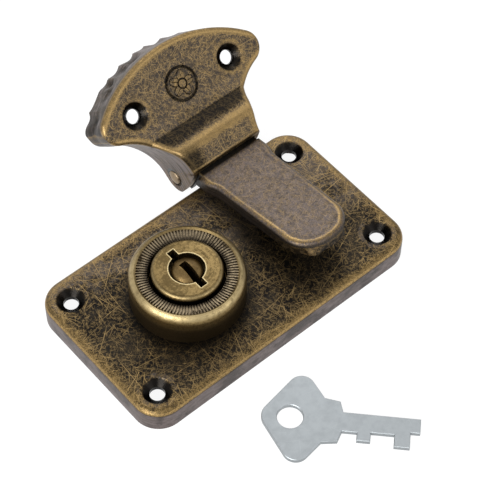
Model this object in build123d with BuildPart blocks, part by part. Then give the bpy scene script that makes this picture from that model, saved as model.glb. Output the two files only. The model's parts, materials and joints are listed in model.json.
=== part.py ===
"""Box hasp lock: a key lock on a drawn plate, and a hinged hasp that a lid carries.

Row frame: the origin is the centre of the plate's four-screw pattern on the mounting
plane, X runs along the plate's long side, Y up the box front towards the lid, and Z out
of the box front. The hasp is drawn as it lies at rest: its arm raised a little from the
plate, its leaf tipped up, and the key laid in front of the plate. Millimetres.
"""

import math
import os

from build123d import *

# Plate
plate_length = 66.2
plate_width = 37.2
plate_height = 5.5
plate_wall = 1.1
plate_corner = 5.5
plate_edge = 1.3
screw_inset_x = 5.1
screw_inset_y = 5.35
screw_radius = 1.5
sink_radius = 2.95
sink_angle = 100.0
dimple_radius = 3.5
dimple_drop = 1.0

# Collar
cylinder_inset = 23.4
spigot_radius = 8.75
collar_radius = 11.4
collar_top = 13.0
collar_rim_height = 1.9
collar_rim_reach = 1.2
collar_lip_radius = 9.6
collar_lip = 0.4
knurl_outer = 9.85
knurl_rim_drop = 0.3
knurl_bore_drop = 0.5
knurl_count = 96
knurl_width = 0.26
knurl_depth = 0.28
collar_bore = 7.65
collar_step = 8.5

# Barrel, its clip and the plug
barrel_face = 13.8
barrel_radius = 7.0
barrel_shank = 6.5
barrel_edge = 0.9
barrel_rim_gap = 0.25
clip_thickness = 0.5
clip_groove = 0.6
clip_width = 2.0
clip_mouth = 3.0
plug_radius = 3.15
plug_shank = 2.6
plug_step = 6.0
plug_rim_drop = 0.3
plug_dome = 0.7
eye_radius = 3.58
eye_depth = 1.3
keyway_width = 1.6
keyway_reach = 5.15
keyway_back = 1.5
keyway_floor = 4.4
turn_fit = 0.05

# Bolt work
cover_thickness = 0.8
cover_width = 27.0
cover_corner = 4.0
bolt_thickness = 1.2
bolt_lift = 0.55
bolt_width = 5.0
bolt_throw = 5.0
bolt_nose_gap = 1.0
bolt_corner = 0.6
yoke_length = 7.2
yoke_width = 10.4
yoke_corner = 1.2
crank_radius = 2.5
crank_pin_radius = 0.9
crank_rivet_radius = 0.65
crank_side_play = 0.65
crank_end_play = 0.15
cam_radius = 4.2
cam_thickness = 0.7
cam_gap = 0.1
cam_side_gap = 0.3
tail_side = 2.8
guide_length = 2.2
guide_wall = 0.5
guide_gap = 0.3
guide_lip = 1.0
guide_foot = 2.6
guide_fit = 0.08
rivet_radius = 0.7
rivet_head_radius = 1.2
rivet_head = 0.5
post_radius = 2.0
post_inset = 2.9
cover_screw_radius = 0.8
cover_screw_head = 1.4
cover_screw_angle = 82.0
cover_screw_length = 3.0
spring_thickness = 0.3
spring_height = 1.3
spring_bow = 10.0
spring_span = 8.0
spring_guide_gap = 1.3
spring_foot_length = 2.4
spring_foot_width = 4.2
spring_rivet_inset = 1.5

# Hinge pin and arm
arm_inset = 17.5
pin_overhang = 5.9
pin_z = 3.6
pin_radius = 1.65
pin_press_fit = 0.02
pin_recess = 0.2
pin_chamfer = 0.2
arm_tilt = 10.0
arm_top = 5.1
arm_skirt = 3.0
arm_wall = 1.1
arm_back = 1.5
arm_past_staple = 14.2
arm_neck_half = 8.05
arm_neck_end = 10.5
arm_half = 7.25
arm_shoulder_end = 13.0
arm_shoulder_round = 3.0
arm_tip_half = 6.75
arm_tip_corner = 6.2
arm_edge = 0.9
neck_foot = 6.5
neck_head = 8.1
knuckle_half = 7.2
knuckle_radius = 3.1
toe_s = 3.4
toe_m = -2.0
heel_s = 5.1
heel_m = 0.7

# Staple
staple_thickness = 1.2
staple_width = 7.2
staple_tip_z = 0.3
staple_bar = 0.9
staple_corner = 1.0
staple_foot = 4.4
staple_foot_thickness = 0.8
eye_top_gap = 0.35
eye_side_gap = 0.2
slot_side_gap = 0.6
slot_end_gap = 0.4

# Leaf
leaf_tilt = 45.0
leaf_wall = 1.1
leaf_flat = 5.7
hood_top = 10.2
hood_front = 1.0
crest_run = 4.1
brow_to_lobe = 6.1
crest_round = 3.0
crease_round = 0.8
hood_half = 8.6
ear_radius = 3.5
ear_front_bow = 0.55
ear_recess_radius = 2.15
ear_recess_depth = 0.5
lobe_x = 16.3
lobe_radius = 3.6
arch_top = 25.6
arch_rise = 9.7
leaf_edge = 0.8
leaf_screw_x = 12.1
leaf_screw_rise = 0.2
medallion_rise = 0.8
medallion_radius = 3.6
medallion_groove = 0.4
medallion_depth = 0.25

# Key
key_thickness = 1.0
key_x = -10.94
key_y = -31.55
key_turn = -46.5
key_hole_radius = 2.5
key_edge = 0.12
bow_back = 6.1
bow_back_round = 3.0
bow_lobe_u = 1.6
bow_lobe_v = 11.0
bow_lobe_round = 2.6
bow_shoulder_u = 6.2
bow_shoulder_v = 4.75
bow_neck_u = 9.2
bow_neck_v = 4.3
blade_start = 9.9
blade_end = 24.5
blade_half = 2.05
tip_start = 22.7
tip_root = 1.0
bit_root = 1.8
bit_one_start = 12.7
bit_one_end = 15.3
bit_one_depth = 3.75
bit_two_start = 19.7
bit_two_depth = 4.3

# Places that follow the plate's size: its screws, the lock cylinder, the hinge and the arm
screw_pitch_x = plate_length - 2 * screw_inset_x
screw_pitch_y = plate_width - 2 * screw_inset_y
cylinder_x = cylinder_inset - plate_length / 2
arm_x = plate_length / 2 - arm_inset
pin_y = plate_width / 2 + pin_overhang
arm_length = pin_y + arm_past_staple
cover_length = screw_pitch_x - 2 * dimple_radius

# Levels of the bolt work, from the mounting plane up
bolt_floor = cover_thickness + bolt_lift
bolt_roof = bolt_floor + bolt_thickness
cam_floor = bolt_roof + cam_gap
cam_roof = cam_floor + cam_thickness
barrel_foot = cam_roof + cam_gap
barrel_rim = bolt_roof + barrel_rim_gap
sheet_floor = plate_height - plate_wall
spigot_end = sheet_floor - collar_lip
clip_floor = spigot_end - clip_thickness
groove_radius = barrel_shank - clip_groove

# Places along the bolt and round it
slot_width = staple_thickness + 2 * slot_side_gap
slot_length = staple_width + 2 * slot_end_gap
bolt_nose_x = arm_x - slot_width / 2 - bolt_nose_gap
yoke_x = cylinder_x - crank_radius
guide_rear_x = yoke_x - yoke_length / 2 - guide_gap - guide_length / 2
bolt_tail_x = guide_rear_x - guide_length / 2 - guide_gap - bolt_throw
guide_front_x = bolt_nose_x - bolt_nose_gap - guide_length
guide_half = bolt_width / 2 + guide_fit + guide_wall
guide_rivet_y = guide_half + guide_foot / 2
post_x = cover_length / 2 - post_inset
post_y = cover_width / 2 - post_inset
spring_foot_x = guide_front_x - guide_length / 2 - spring_guide_gap - spring_foot_length / 2
spring_x = spring_foot_x - spring_span / 2
spring_crown_y = -bolt_width / 2 - turn_fit
spring_foot_y = spring_crown_y - spring_thickness - spring_foot_width / 2
spring_rivet_y = spring_foot_y - spring_foot_width / 2 + spring_rivet_inset

# Levels of the arm and the staple, measured from the pin
arm_floor = arm_top - arm_skirt
arm_sheet_floor = arm_top - arm_wall
staple_s = pin_y
staple_tip = staple_tip_z - pin_z
staple_foot_floor = arm_sheet_floor - staple_foot_thickness
eye_floor = staple_tip + staple_bar
eye_roof = bolt_roof + eye_top_gap - pin_z

# Places along the leaf that follow its arch
lobe_t = arch_top - arch_rise
leaf_screw_t = lobe_t + leaf_screw_rise
medallion_t = lobe_t + medallion_rise
hood_crease = lobe_t - brow_to_lobe
hood_crest = hood_front + crest_run

# Planes of the hinge: along the arm, across it, along the leaf and across it
arm_cos = math.cos(math.radians(arm_tilt))
arm_sin = math.sin(math.radians(arm_tilt))
leaf_cos = math.cos(math.radians(leaf_tilt))
leaf_sin = math.sin(math.radians(leaf_tilt))
hinge_point = (arm_x, pin_y, pin_z)
arm_plane = Plane(origin=hinge_point, x_dir=(1, 0, 0), z_dir=(0, arm_sin, arm_cos))
arm_side = Plane(origin=hinge_point, x_dir=(0, -arm_cos, arm_sin), z_dir=(-1, 0, 0))
leaf_plane = Plane(origin=hinge_point, x_dir=(1, 0, 0), z_dir=(0, -leaf_sin, leaf_cos))
leaf_side = Plane(origin=hinge_point, x_dir=(0, leaf_cos, leaf_sin), z_dir=(1, 0, 0))
cylinder_side = Plane(origin=(cylinder_x, 0, 0), x_dir=(1, 0, 0), z_dir=(0, -1, 0))
cylinder_axis = Axis((cylinder_x, 0, 0), (0, 0, 1))
key_plane = Plane(
    origin=(key_x, key_y, 0),
    x_dir=(math.cos(math.radians(key_turn)), math.sin(math.radians(key_turn)), 0),
)


def level(height):
    """Plane parallel to the mounting plane, centred on the plate."""
    return Plane.XY.offset(height)


def cylinder_level(height):
    """Plane parallel to the mounting plane, centred on the lock cylinder."""
    return Plane(origin=(cylinder_x, 0, height))


# Lock plate: a drawn sheet with a skirt, four dimpled screw holes, the hole of the
# collar's spigot and the slot that the staple drops into
with BuildPart() as lock_plate:
    with BuildSketch():
        RectangleRounded(plate_length, plate_width, plate_corner)
    extrude(amount=plate_height)
    fillet(lock_plate.faces().sort_by(Axis.Z)[-1].edges(), plate_edge)
    with BuildSketch():
        RectangleRounded(
            plate_length - 2 * plate_wall,
            plate_width - 2 * plate_wall,
            plate_corner - plate_wall,
        )
    extrude(amount=sheet_floor, mode=Mode.SUBTRACT)
    with BuildSketch(level(sheet_floor - dimple_drop)):
        with GridLocations(screw_pitch_x, screw_pitch_y, 2, 2):
            Circle(dimple_radius)
    extrude(amount=dimple_drop)
    with Locations(level(plate_height)):
        with GridLocations(screw_pitch_x, screw_pitch_y, 2, 2):
            CounterSinkHole(screw_radius, sink_radius, counter_sink_angle=sink_angle)
    with BuildSketch():
        with Locations((cylinder_x, 0)):
            Circle(spigot_radius)
        with Locations((arm_x, 0)):
            RectangleRounded(slot_width, slot_length, slot_side_gap)
    extrude(amount=plate_height, mode=Mode.SUBTRACT)

# Collar: the turned escutcheon round the cylinder, knurled on its dished face and
# peened over under the plate
knurl_run = knurl_outer - collar_bore + 2 * knurl_width
knurl_height = collar_top - (knurl_bore_drop + knurl_rim_drop) / 2
knurl_slope = math.degrees(
    math.atan2(knurl_bore_drop - knurl_rim_drop, knurl_outer - collar_bore)
)
with BuildPart() as collar:
    with BuildSketch(cylinder_side):
        with BuildLine():
            TangentArc(
                (collar_radius, collar_top - collar_rim_height),
                (collar_radius - collar_rim_reach, collar_top),
                tangent=(0, 1),
            )
            Polyline(
                (collar_radius - collar_rim_reach, collar_top),
                (knurl_outer, collar_top - knurl_rim_drop),
                (collar_bore, collar_top - knurl_bore_drop),
                (collar_bore, collar_step),
                (barrel_shank + turn_fit, collar_step),
                (barrel_shank + turn_fit, spigot_end),
                (collar_lip_radius - collar_lip, spigot_end),
                (collar_lip_radius, sheet_floor),
                (spigot_radius, sheet_floor),
                (spigot_radius, plate_height),
                (collar_radius, plate_height),
                (collar_radius, collar_top - collar_rim_height),
            )
        make_face()
    revolve(axis=cylinder_axis)
    with Locations(cylinder_level(knurl_height)):
        with PolarLocations(knurl_outer - knurl_run / 2, knurl_count):
            Box(
                knurl_run,
                knurl_width,
                2 * knurl_depth,
                rotation=(0, -knurl_slope, 0),
                mode=Mode.SUBTRACT,
            )

# Barrel: the fixed cylinder, with a bore and an eye for the plug, the two notches of the
# keyway right through it, a groove for its clip and a pocket for the cam
with BuildPart() as barrel:
    with BuildSketch(cylinder_side):
        with BuildLine():
            Polyline(
                (eye_radius, barrel_face),
                (barrel_radius, barrel_face),
                (barrel_radius, collar_step),
                (barrel_shank, collar_step),
                (barrel_shank, spigot_end),
                (groove_radius, spigot_end),
                (groove_radius, clip_floor),
                (barrel_shank, clip_floor),
                (barrel_shank, barrel_rim),
                (cam_radius + cam_side_gap, barrel_rim),
                (cam_radius + cam_side_gap, barrel_foot),
                (plug_shank + turn_fit, barrel_foot),
                (plug_shank + turn_fit, plug_step - turn_fit),
                (plug_radius + turn_fit, plug_step - turn_fit),
                (plug_radius + turn_fit, barrel_face - eye_depth),
                (eye_radius, barrel_face - eye_depth),
                close=True,
            )
        make_face()
    revolve(axis=cylinder_axis)
    face_rims = barrel.edges().filter_by(GeomType.CIRCLE).group_by(Axis.Z)[-1]
    fillet(face_rims.sort_by(SortBy.RADIUS)[-1], barrel_edge)
    with BuildSketch(cylinder_level(0)):
        Rectangle(keyway_width, 2 * keyway_reach)
    extrude(amount=barrel_face, mode=Mode.SUBTRACT)

# Barrel clip: an open spring ring in the barrel's groove, under the collar's end
with BuildPart() as barrel_clip:
    with BuildSketch(cylinder_level(clip_floor)):
        Circle(groove_radius + clip_width)
        Circle(groove_radius + turn_fit, mode=Mode.SUBTRACT)
        with Locations((0, groove_radius + clip_width)):
            Rectangle(clip_mouth, 4 * clip_width, mode=Mode.SUBTRACT)
    extrude(amount=clip_thickness)

# Key plug: the domed part that the key turns, slotted from near its back out through its
# front, on a shank with a squared tail for the cam
plug_rim = barrel_face - plug_rim_drop
with BuildPart() as key_plug:
    with BuildSketch(cylinder_side):
        with BuildLine():
            TangentArc((0, plug_rim + plug_dome), (plug_radius, plug_rim), tangent=(1, 0))
            Polyline(
                (plug_radius, plug_rim),
                (plug_radius, plug_step),
                (plug_shank, plug_step),
                (plug_shank, cam_roof),
                (0, cam_roof),
                (0, plug_rim + plug_dome),
            )
        make_face()
    revolve(axis=cylinder_axis)
    with BuildSketch(cylinder_level(keyway_floor)):
        with Locations((0, keyway_back)):
            Rectangle(
                keyway_width,
                keyway_back + keyway_reach,
                align=(Align.CENTER, Align.MAX),
            )
    extrude(amount=barrel_face, mode=Mode.SUBTRACT)
    with BuildSketch(cylinder_level(cam_floor)):
        Rectangle(tail_side, tail_side)
    extrude(amount=cam_thickness)

# Drive cam: the disc staked on the plug's squared tail
with BuildPart() as drive_cam:
    with BuildSketch(cylinder_level(cam_floor)):
        Circle(cam_radius)
        Rectangle(tail_side + turn_fit, tail_side + turn_fit, mode=Mode.SUBTRACT)
        with Locations((-crank_radius, 0)):
            Circle(crank_rivet_radius + pin_press_fit, mode=Mode.SUBTRACT)
    extrude(amount=cam_thickness)

# Crank pin: riveted in the cam, it works in the bolt's cross slot
with BuildPart() as crank_pin:
    with BuildSketch(level(bolt_floor - bolt_lift / 2)):
        with Locations((yoke_x, 0)):
            Circle(crank_pin_radius)
    extrude(amount=cam_floor - bolt_floor + bolt_lift / 2)
    with BuildSketch(level(cam_floor)):
        with Locations((yoke_x, 0)):
            Circle(crank_rivet_radius)
    extrude(amount=cam_thickness)

# Locking bolt: a flat slide with a wide yoke and the crank pin's cross slot
with BuildPart() as locking_bolt:
    with BuildSketch(level(bolt_floor)):
        with Locations(((bolt_tail_x + bolt_nose_x) / 2, 0)):
            RectangleRounded(bolt_nose_x - bolt_tail_x, bolt_width, bolt_corner)
        with Locations((yoke_x, 0)):
            RectangleRounded(yoke_length, yoke_width, yoke_corner)
            SlotOverall(
                2 * (crank_radius + crank_pin_radius + crank_end_play),
                2 * (crank_pin_radius + crank_side_play),
                rotation=90,
                mode=Mode.SUBTRACT,
            )
    extrude(amount=bolt_thickness)


def make_guide(guide_x):
    """Saddle that carries the bolt: a foot on the cover, two cheeks and two lips."""
    cross = Plane(origin=(guide_x, 0, cover_thickness), x_dir=(0, 1, 0), z_dir=(1, 0, 0))
    roof = bolt_roof + guide_fit + guide_wall - cover_thickness
    with BuildPart() as guide:
        with BuildSketch(cross):
            Rectangle(
                2 * (guide_half + guide_foot),
                guide_wall,
                align=(Align.CENTER, Align.MIN),
            )
            Rectangle(2 * guide_half, roof, align=(Align.CENTER, Align.MIN))
            with Locations((0, guide_wall)):
                Rectangle(
                    bolt_width + 2 * guide_fit,
                    roof - 2 * guide_wall,
                    align=(Align.CENTER, Align.MIN),
                    mode=Mode.SUBTRACT,
                )
                Rectangle(
                    bolt_width - 2 * guide_lip,
                    roof,
                    align=(Align.CENTER, Align.MIN),
                    mode=Mode.SUBTRACT,
                )
        extrude(amount=guide_length / 2, both=True)
        with BuildSketch(level(cover_thickness)):
            with Locations((guide_x, guide_rivet_y), (guide_x, -guide_rivet_y)):
                Circle(rivet_radius)
        extrude(amount=guide_wall, mode=Mode.SUBTRACT)
    return guide


bolt_guide_rear = make_guide(guide_rear_x)
bolt_guide_front = make_guide(guide_front_x)
guide_rivet_spots = [
    (guide_x, rivet_y)
    for guide_x in (guide_rear_x, guide_front_x)
    for rivet_y in (guide_rivet_y, -guide_rivet_y)
]


def make_rivets(spots, held):
    """Rivets through the cover and what it holds, each with a coned head."""
    with BuildPart() as rivets:
        with BuildSketch():
            with Locations(*spots):
                Circle(rivet_radius)
        extrude(amount=cover_thickness + held)
        with BuildSketch(level(cover_thickness + held)):
            with Locations(*spots):
                Circle(rivet_head_radius)
        extrude(amount=rivet_head, taper=30)
    return rivets


guide_rivets = make_rivets(guide_rivet_spots, guide_wall)
spring_rivet = make_rivets([(spring_foot_x, spring_rivet_y)], spring_thickness)

# Bolt spring: a bowed flat spring on a riveted foot, its crown against the bolt's edge
with BuildPart() as bolt_spring:
    with BuildSketch(level(cover_thickness + spring_thickness)):
        with Locations((spring_x, spring_crown_y - spring_bow)):
            Circle(spring_bow)
            Circle(spring_bow - spring_thickness, mode=Mode.SUBTRACT)
        with Locations((spring_x, spring_crown_y)):
            Rectangle(spring_span, spring_bow / 2, mode=Mode.INTERSECT)
    extrude(amount=spring_height)
    with BuildSketch(level(cover_thickness)):
        with Locations((spring_foot_x, spring_foot_y)):
            Rectangle(spring_foot_length, spring_foot_width)
        with Locations((spring_foot_x, spring_rivet_y)):
            Circle(rivet_radius, mode=Mode.SUBTRACT)
    extrude(amount=spring_thickness)

# Case cover: the flat back of the bolt work, with a window under the staple
with BuildPart() as case_cover:
    with BuildSketch():
        RectangleRounded(cover_length, cover_width, cover_corner)
        with Locations((arm_x, 0)):
            RectangleRounded(
                slot_width + slot_side_gap,
                slot_length + slot_end_gap,
                slot_side_gap,
                mode=Mode.SUBTRACT,
            )
        with Locations(*guide_rivet_spots, (spring_foot_x, spring_rivet_y)):
            Circle(rivet_radius, mode=Mode.SUBTRACT)
    extrude(amount=cover_thickness)
    with Locations(Plane.XY.rotated((180, 0, 0))):
        with GridLocations(2 * post_x, 2 * post_y, 2, 2):
            CounterSinkHole(
                cover_screw_radius,
                cover_screw_head,
                counter_sink_angle=cover_screw_angle,
            )

# Cover posts: four bushes that hang from the plate and take the cover's screws
with BuildPart() as cover_posts:
    with BuildSketch(level(cover_thickness)):
        with GridLocations(2 * post_x, 2 * post_y, 2, 2):
            Circle(post_radius)
            Circle(cover_screw_radius, mode=Mode.SUBTRACT)
    extrude(amount=sheet_floor - cover_thickness)

# Cover screws: four countersunk screws, flush with the cover's back
screw_head_height = (cover_screw_head - cover_screw_radius) / math.tan(
    math.radians(cover_screw_angle / 2)
)
with BuildPart() as cover_screws:
    with GridLocations(2 * post_x, 2 * post_y, 2, 2):
        Cylinder(
            cover_screw_radius,
            cover_screw_length,
            align=(Align.CENTER, Align.CENTER, Align.MIN),
        )
        Cone(
            cover_screw_head,
            cover_screw_radius,
            screw_head_height,
            align=(Align.CENTER, Align.CENTER, Align.MIN),
        )


def arm_outline(inset, back):
    """Plan of the arm less an inset: a wide neck, a shoulder, a taper and a round tip."""
    with BuildSketch() as outline:
        with BuildLine():
            Polyline(
                (0, -back),
                (arm_neck_half - inset, -back),
                (arm_neck_half - inset, -arm_neck_end),
                (arm_half - inset, -arm_shoulder_end),
                (arm_tip_half - inset, inset - arm_length),
                (0, inset - arm_length),
            )
            mirror(about=Plane.YZ)
        make_face()
        corners = outline.vertices().group_by(Axis.Y)
        fillet(corners[0], arm_tip_corner - inset)
        shoulders = outline.vertices().filter_by(
            lambda v: -arm_shoulder_end - 0.1 < v.Y < 0.1 - arm_neck_end
        )
        fillet(shoulders, arm_shoulder_round)
    return outline.sketch


# Hasp arm: a drawn channel with a rounded tip and two knuckles on the pin
with BuildPart() as hasp_arm:
    with BuildSketch(arm_plane.offset(arm_floor)):
        add(arm_outline(0, arm_back))
    extrude(amount=arm_skirt)
    arm_sheet = hasp_arm.faces().filter_by(arm_plane).sort_by(Axis.Z)[-1]
    fillet(arm_sheet.edges(), arm_edge)
    with BuildSketch(arm_plane.offset(arm_floor)):
        add(arm_outline(arm_wall, arm_back - arm_wall))
    extrude(amount=arm_sheet_floor - arm_floor, mode=Mode.SUBTRACT)
    for side in (-1, 1):
        with BuildSketch(arm_side.offset(side * knuckle_half)):
            with BuildLine():
                Polyline(
                    (0, arm_floor),
                    (neck_foot, arm_floor),
                    (neck_head, arm_top),
                    (0, arm_top),
                    close=True,
                )
            make_face()
        extrude(amount=side * arm_wall, mode=Mode.SUBTRACT)
        with BuildSketch(arm_side.offset(side * (knuckle_half - arm_wall))):
            with BuildLine():
                Polyline(
                    (-knuckle_radius * 0.5, knuckle_radius * math.sqrt(0.75)),
                    (arm_back, arm_sheet_floor + arm_wall / 2),
                    (neck_head + arm_wall, arm_sheet_floor + arm_wall / 2),
                    (neck_foot + arm_wall, arm_floor),
                    (heel_s + arm_wall, arm_floor),
                    (heel_s, heel_m),
                    (toe_s, toe_m),
                    (knuckle_radius * 0.8, -knuckle_radius * 0.6),
                    close=True,
                )
            make_face()
            Circle(knuckle_radius)
            Circle(pin_radius + turn_fit, mode=Mode.SUBTRACT)
        extrude(amount=side * arm_wall)

# Staple: a flat loop hung under the arm, its foot against the sheet
with BuildPart() as staple:
    with BuildSketch(arm_side):
        with Locations((staple_s, staple_tip)):
            Rectangle(
                staple_width,
                staple_foot_floor - staple_tip,
                align=(Align.CENTER, Align.MIN),
            )
    extrude(amount=staple_thickness / 2, both=True)
    fillet(staple.edges().filter_by(Axis.X).sort_by(Axis.Z)[:2], staple_corner)
    with BuildSketch(arm_side):
        with Locations((staple_s, eye_floor)):
            Rectangle(
                bolt_width + 2 * eye_side_gap,
                eye_roof - eye_floor,
                align=(Align.CENTER, Align.MIN),
            )
    extrude(amount=staple_thickness / 2, both=True, mode=Mode.SUBTRACT)
    with BuildSketch(arm_plane.offset(staple_foot_floor)):
        with Locations((0, -staple_s)):
            RectangleRounded(staple_foot, staple_width, staple_corner)
    extrude(amount=staple_foot_thickness)

# Leaf outline: two ears, a waist arc that starts upright at the pin, a lobe round each
# screw and an arch, each arc tangent to the next
lobe_reach = lobe_x - hood_half
waist_radius = (lobe_reach**2 + lobe_t**2 - lobe_radius**2) / (
    2 * (lobe_reach + lobe_radius)
)
arch_drop = (lobe_x**2 + lobe_t**2 - (arch_top - lobe_radius) ** 2) / (
    2 * (arch_top - lobe_radius - lobe_t)
)
waist_angle = math.atan2(lobe_t, hood_half + waist_radius - lobe_x)
arch_angle = math.atan2(lobe_t + arch_drop, lobe_x)
waist_end = (
    lobe_x + lobe_radius * math.cos(waist_angle),
    lobe_t - lobe_radius * math.sin(waist_angle),
)
lobe_end = (
    lobe_x + lobe_radius * math.cos(arch_angle),
    lobe_t + lobe_radius * math.sin(arch_angle),
)
with BuildSketch() as leaf_outline:
    with BuildLine():
        Polyline((0, -2 * ear_radius), (hood_half, -2 * ear_radius), (hood_half, 0))
        TangentArc((hood_half, 0), waist_end, tangent=(0, 1))
        ThreePointArc(waist_end, (lobe_x + lobe_radius, lobe_t), lobe_end)
        TangentArc((0, arch_top), lobe_end, tangent=(1, 0))
        mirror(about=Plane.YZ)
    make_face()

# Leaf profile: an ear round the pin, a bowed front, the hood, its brow and the flat
with BuildSketch() as leaf_profile:
    with BuildLine():
        SagittaArc((-ear_radius, 0), (hood_front, hood_top), ear_front_bow)
        Polyline(
            (hood_front, hood_top),
            (hood_crest, hood_top),
            (hood_crease, leaf_flat),
            (arch_top + lobe_radius, leaf_flat),
            (arch_top + lobe_radius, -pin_z),
            (0, -pin_z),
            (0, -ear_radius),
        )
        CenterArc((0, 0), ear_radius, 180, 90)
    make_face()
    bends = leaf_profile.vertices().sort_by(Axis.Y).filter_by(lambda v: v.X > 0)
    fillet(bends.filter_by(lambda v: abs(v.X - hood_crest) < 0.01), crest_round)
    fillet(bends.filter_by(lambda v: abs(v.X - hood_crease) < 0.01), crease_round)

# Leaf hollow: the outline less the wall, under the hood, the brow and the flat
brow_angle = math.atan2(hood_top - leaf_flat, hood_crease - hood_crest)
brow_shift = leaf_wall * math.tan(brow_angle / 2)
leaf_reach = lobe_x + 2 * lobe_radius
with BuildPart() as leaf_hollow:
    with BuildSketch(leaf_plane.offset(-pin_z)):
        add(leaf_outline.sketch)
        offset(amount=-leaf_wall)
    extrude(amount=pin_z + hood_top)
    with BuildSketch(leaf_side):
        with BuildLine():
            Polyline(
                (-2 * ear_radius, -pin_z),
                (-2 * ear_radius, hood_top - leaf_wall),
                (hood_crest - brow_shift, hood_top - leaf_wall),
                (hood_crease - brow_shift, leaf_flat - leaf_wall),
                (arch_top, leaf_flat - leaf_wall),
                (arch_top, -pin_z),
                close=True,
            )
        make_face()
    extrude(amount=leaf_reach, both=True, mode=Mode.INTERSECT)

# Hasp leaf: a drawn sheet with a hood over the hinge, ears on the pin, a sloping brow and
# a flat with two dimpled screw holes and a ringed medallion
with BuildPart() as hasp_leaf:
    with BuildSketch(leaf_plane.offset(-pin_z)):
        add(leaf_outline.sketch)
    extrude(amount=pin_z + hood_top)
    with BuildSketch(leaf_side):
        add(leaf_profile.sketch)
    extrude(amount=leaf_reach, both=True, mode=Mode.INTERSECT)
    upper = hasp_leaf.faces().filter_by(
        lambda f: f.normal_at().dot(leaf_plane.z_dir) > 0.5
    )
    fillet(upper.edges().filter_by(Axis.X, reverse=True), leaf_edge)
    add(leaf_hollow.part, mode=Mode.SUBTRACT)
    with BuildSketch(leaf_plane.offset(leaf_flat - leaf_wall - dimple_drop)):
        with GridLocations(2 * leaf_screw_x, 0, 2, 1):
            with Locations((0, leaf_screw_t)):
                Circle(dimple_radius)
    extrude(amount=dimple_drop)
    with Locations(leaf_plane.offset(leaf_flat)):
        with Locations((-leaf_screw_x, leaf_screw_t), (leaf_screw_x, leaf_screw_t)):
            CounterSinkHole(screw_radius, sink_radius, counter_sink_angle=sink_angle)
    with BuildSketch(leaf_plane.offset(leaf_flat)):
        with Locations((0, medallion_t)):
            Circle(medallion_radius)
            Circle(medallion_radius - medallion_groove, mode=Mode.SUBTRACT)
    extrude(amount=-medallion_depth, mode=Mode.SUBTRACT)
    with BuildSketch(leaf_side):
        Circle(pin_radius + pin_press_fit)
    extrude(amount=hood_half, both=True, mode=Mode.SUBTRACT)
    for side in (-1, 1):
        with BuildSketch(leaf_side.offset(side * (hood_half - ear_recess_depth))):
            Circle(ear_recess_radius)
        extrude(amount=side * ear_recess_depth, mode=Mode.SUBTRACT)

# Hinge pin: held in the leaf's ears, with the arm's knuckles turning on it
with BuildPart() as hinge_pin:
    with BuildSketch(leaf_side):
        Circle(pin_radius)
    extrude(amount=hood_half - pin_recess, both=True)
    chamfer(hinge_pin.edges().filter_by(GeomType.CIRCLE), pin_chamfer)

# Key: stamped flat, with a holed bow, a notched blade and two bits
with BuildPart() as key:
    with BuildSketch(key_plane) as blank:
        with BuildLine():
            Polyline(
                (-bow_back, 0),
                (bow_lobe_u, bow_lobe_v),
                (bow_shoulder_u, bow_shoulder_v),
                (bow_neck_u, bow_neck_v),
                (blade_start, blade_half),
                (blade_end, blade_half),
                (blade_end, -tip_root),
                (tip_start, -tip_root),
                (tip_start, -bit_two_depth),
                (bit_two_start, -bit_two_depth),
                (bit_two_start, -bit_root),
                (bit_one_end, -bit_root),
                (bit_one_end, -bit_one_depth),
                (bit_one_start, -bit_one_depth),
                (bit_one_start, -blade_half),
                (blade_start, -blade_half),
                (bow_neck_u, -bow_neck_v),
                (bow_shoulder_u, -bow_shoulder_v),
                (bow_lobe_u, -bow_lobe_v),
                close=True,
            )
        make_face()
        lobes = blank.vertices().filter_by(lambda v: abs(abs(v.Y) - bow_lobe_v) < 0.01)
        fillet(lobes, bow_lobe_round)
        fillet(blank.vertices().sort_by(Axis.X)[0], bow_back_round)
        Circle(key_hole_radius, mode=Mode.SUBTRACT)
    extrude(amount=key_thickness)
    chamfer(key.faces().sort_by(Axis.Z)[-1].edges(), key_edge)

pieces = {
    "lock_plate": lock_plate,
    "collar": collar,
    "barrel": barrel,
    "barrel_clip": barrel_clip,
    "key_plug": key_plug,
    "drive_cam": drive_cam,
    "crank_pin": crank_pin,
    "locking_bolt": locking_bolt,
    "bolt_guide_rear": bolt_guide_rear,
    "bolt_guide_front": bolt_guide_front,
    "guide_rivets": guide_rivets,
    "bolt_spring": bolt_spring,
    "spring_rivet": spring_rivet,
    "case_cover": case_cover,
    "cover_posts": cover_posts,
    "cover_screws": cover_screws,
    "hasp_arm": hasp_arm,
    "staple": staple,
    "hasp_leaf": hasp_leaf,
    "hinge_pin": hinge_pin,
    "key": key,
}

os.makedirs("parts", exist_ok=True)
for name, piece in pieces.items():
    piece.part.label = name
    export_step(piece.part, f"parts/{name}.step")
    print(name, round(piece.part.volume, 2), len(piece.part.solids()))
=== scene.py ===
"""Looks of the box hasp lock: worn bronze and brass, a rippled leaf, a rosette and a studio.

Everything is in metres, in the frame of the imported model. The finishes work in
millimetres: each first turns a piece's Object coordinates into the piece's own frame.
"""

import json
import math

import bmesh
import bpy
import numpy as np
from mathutils import Euler, Matrix, Vector


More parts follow.
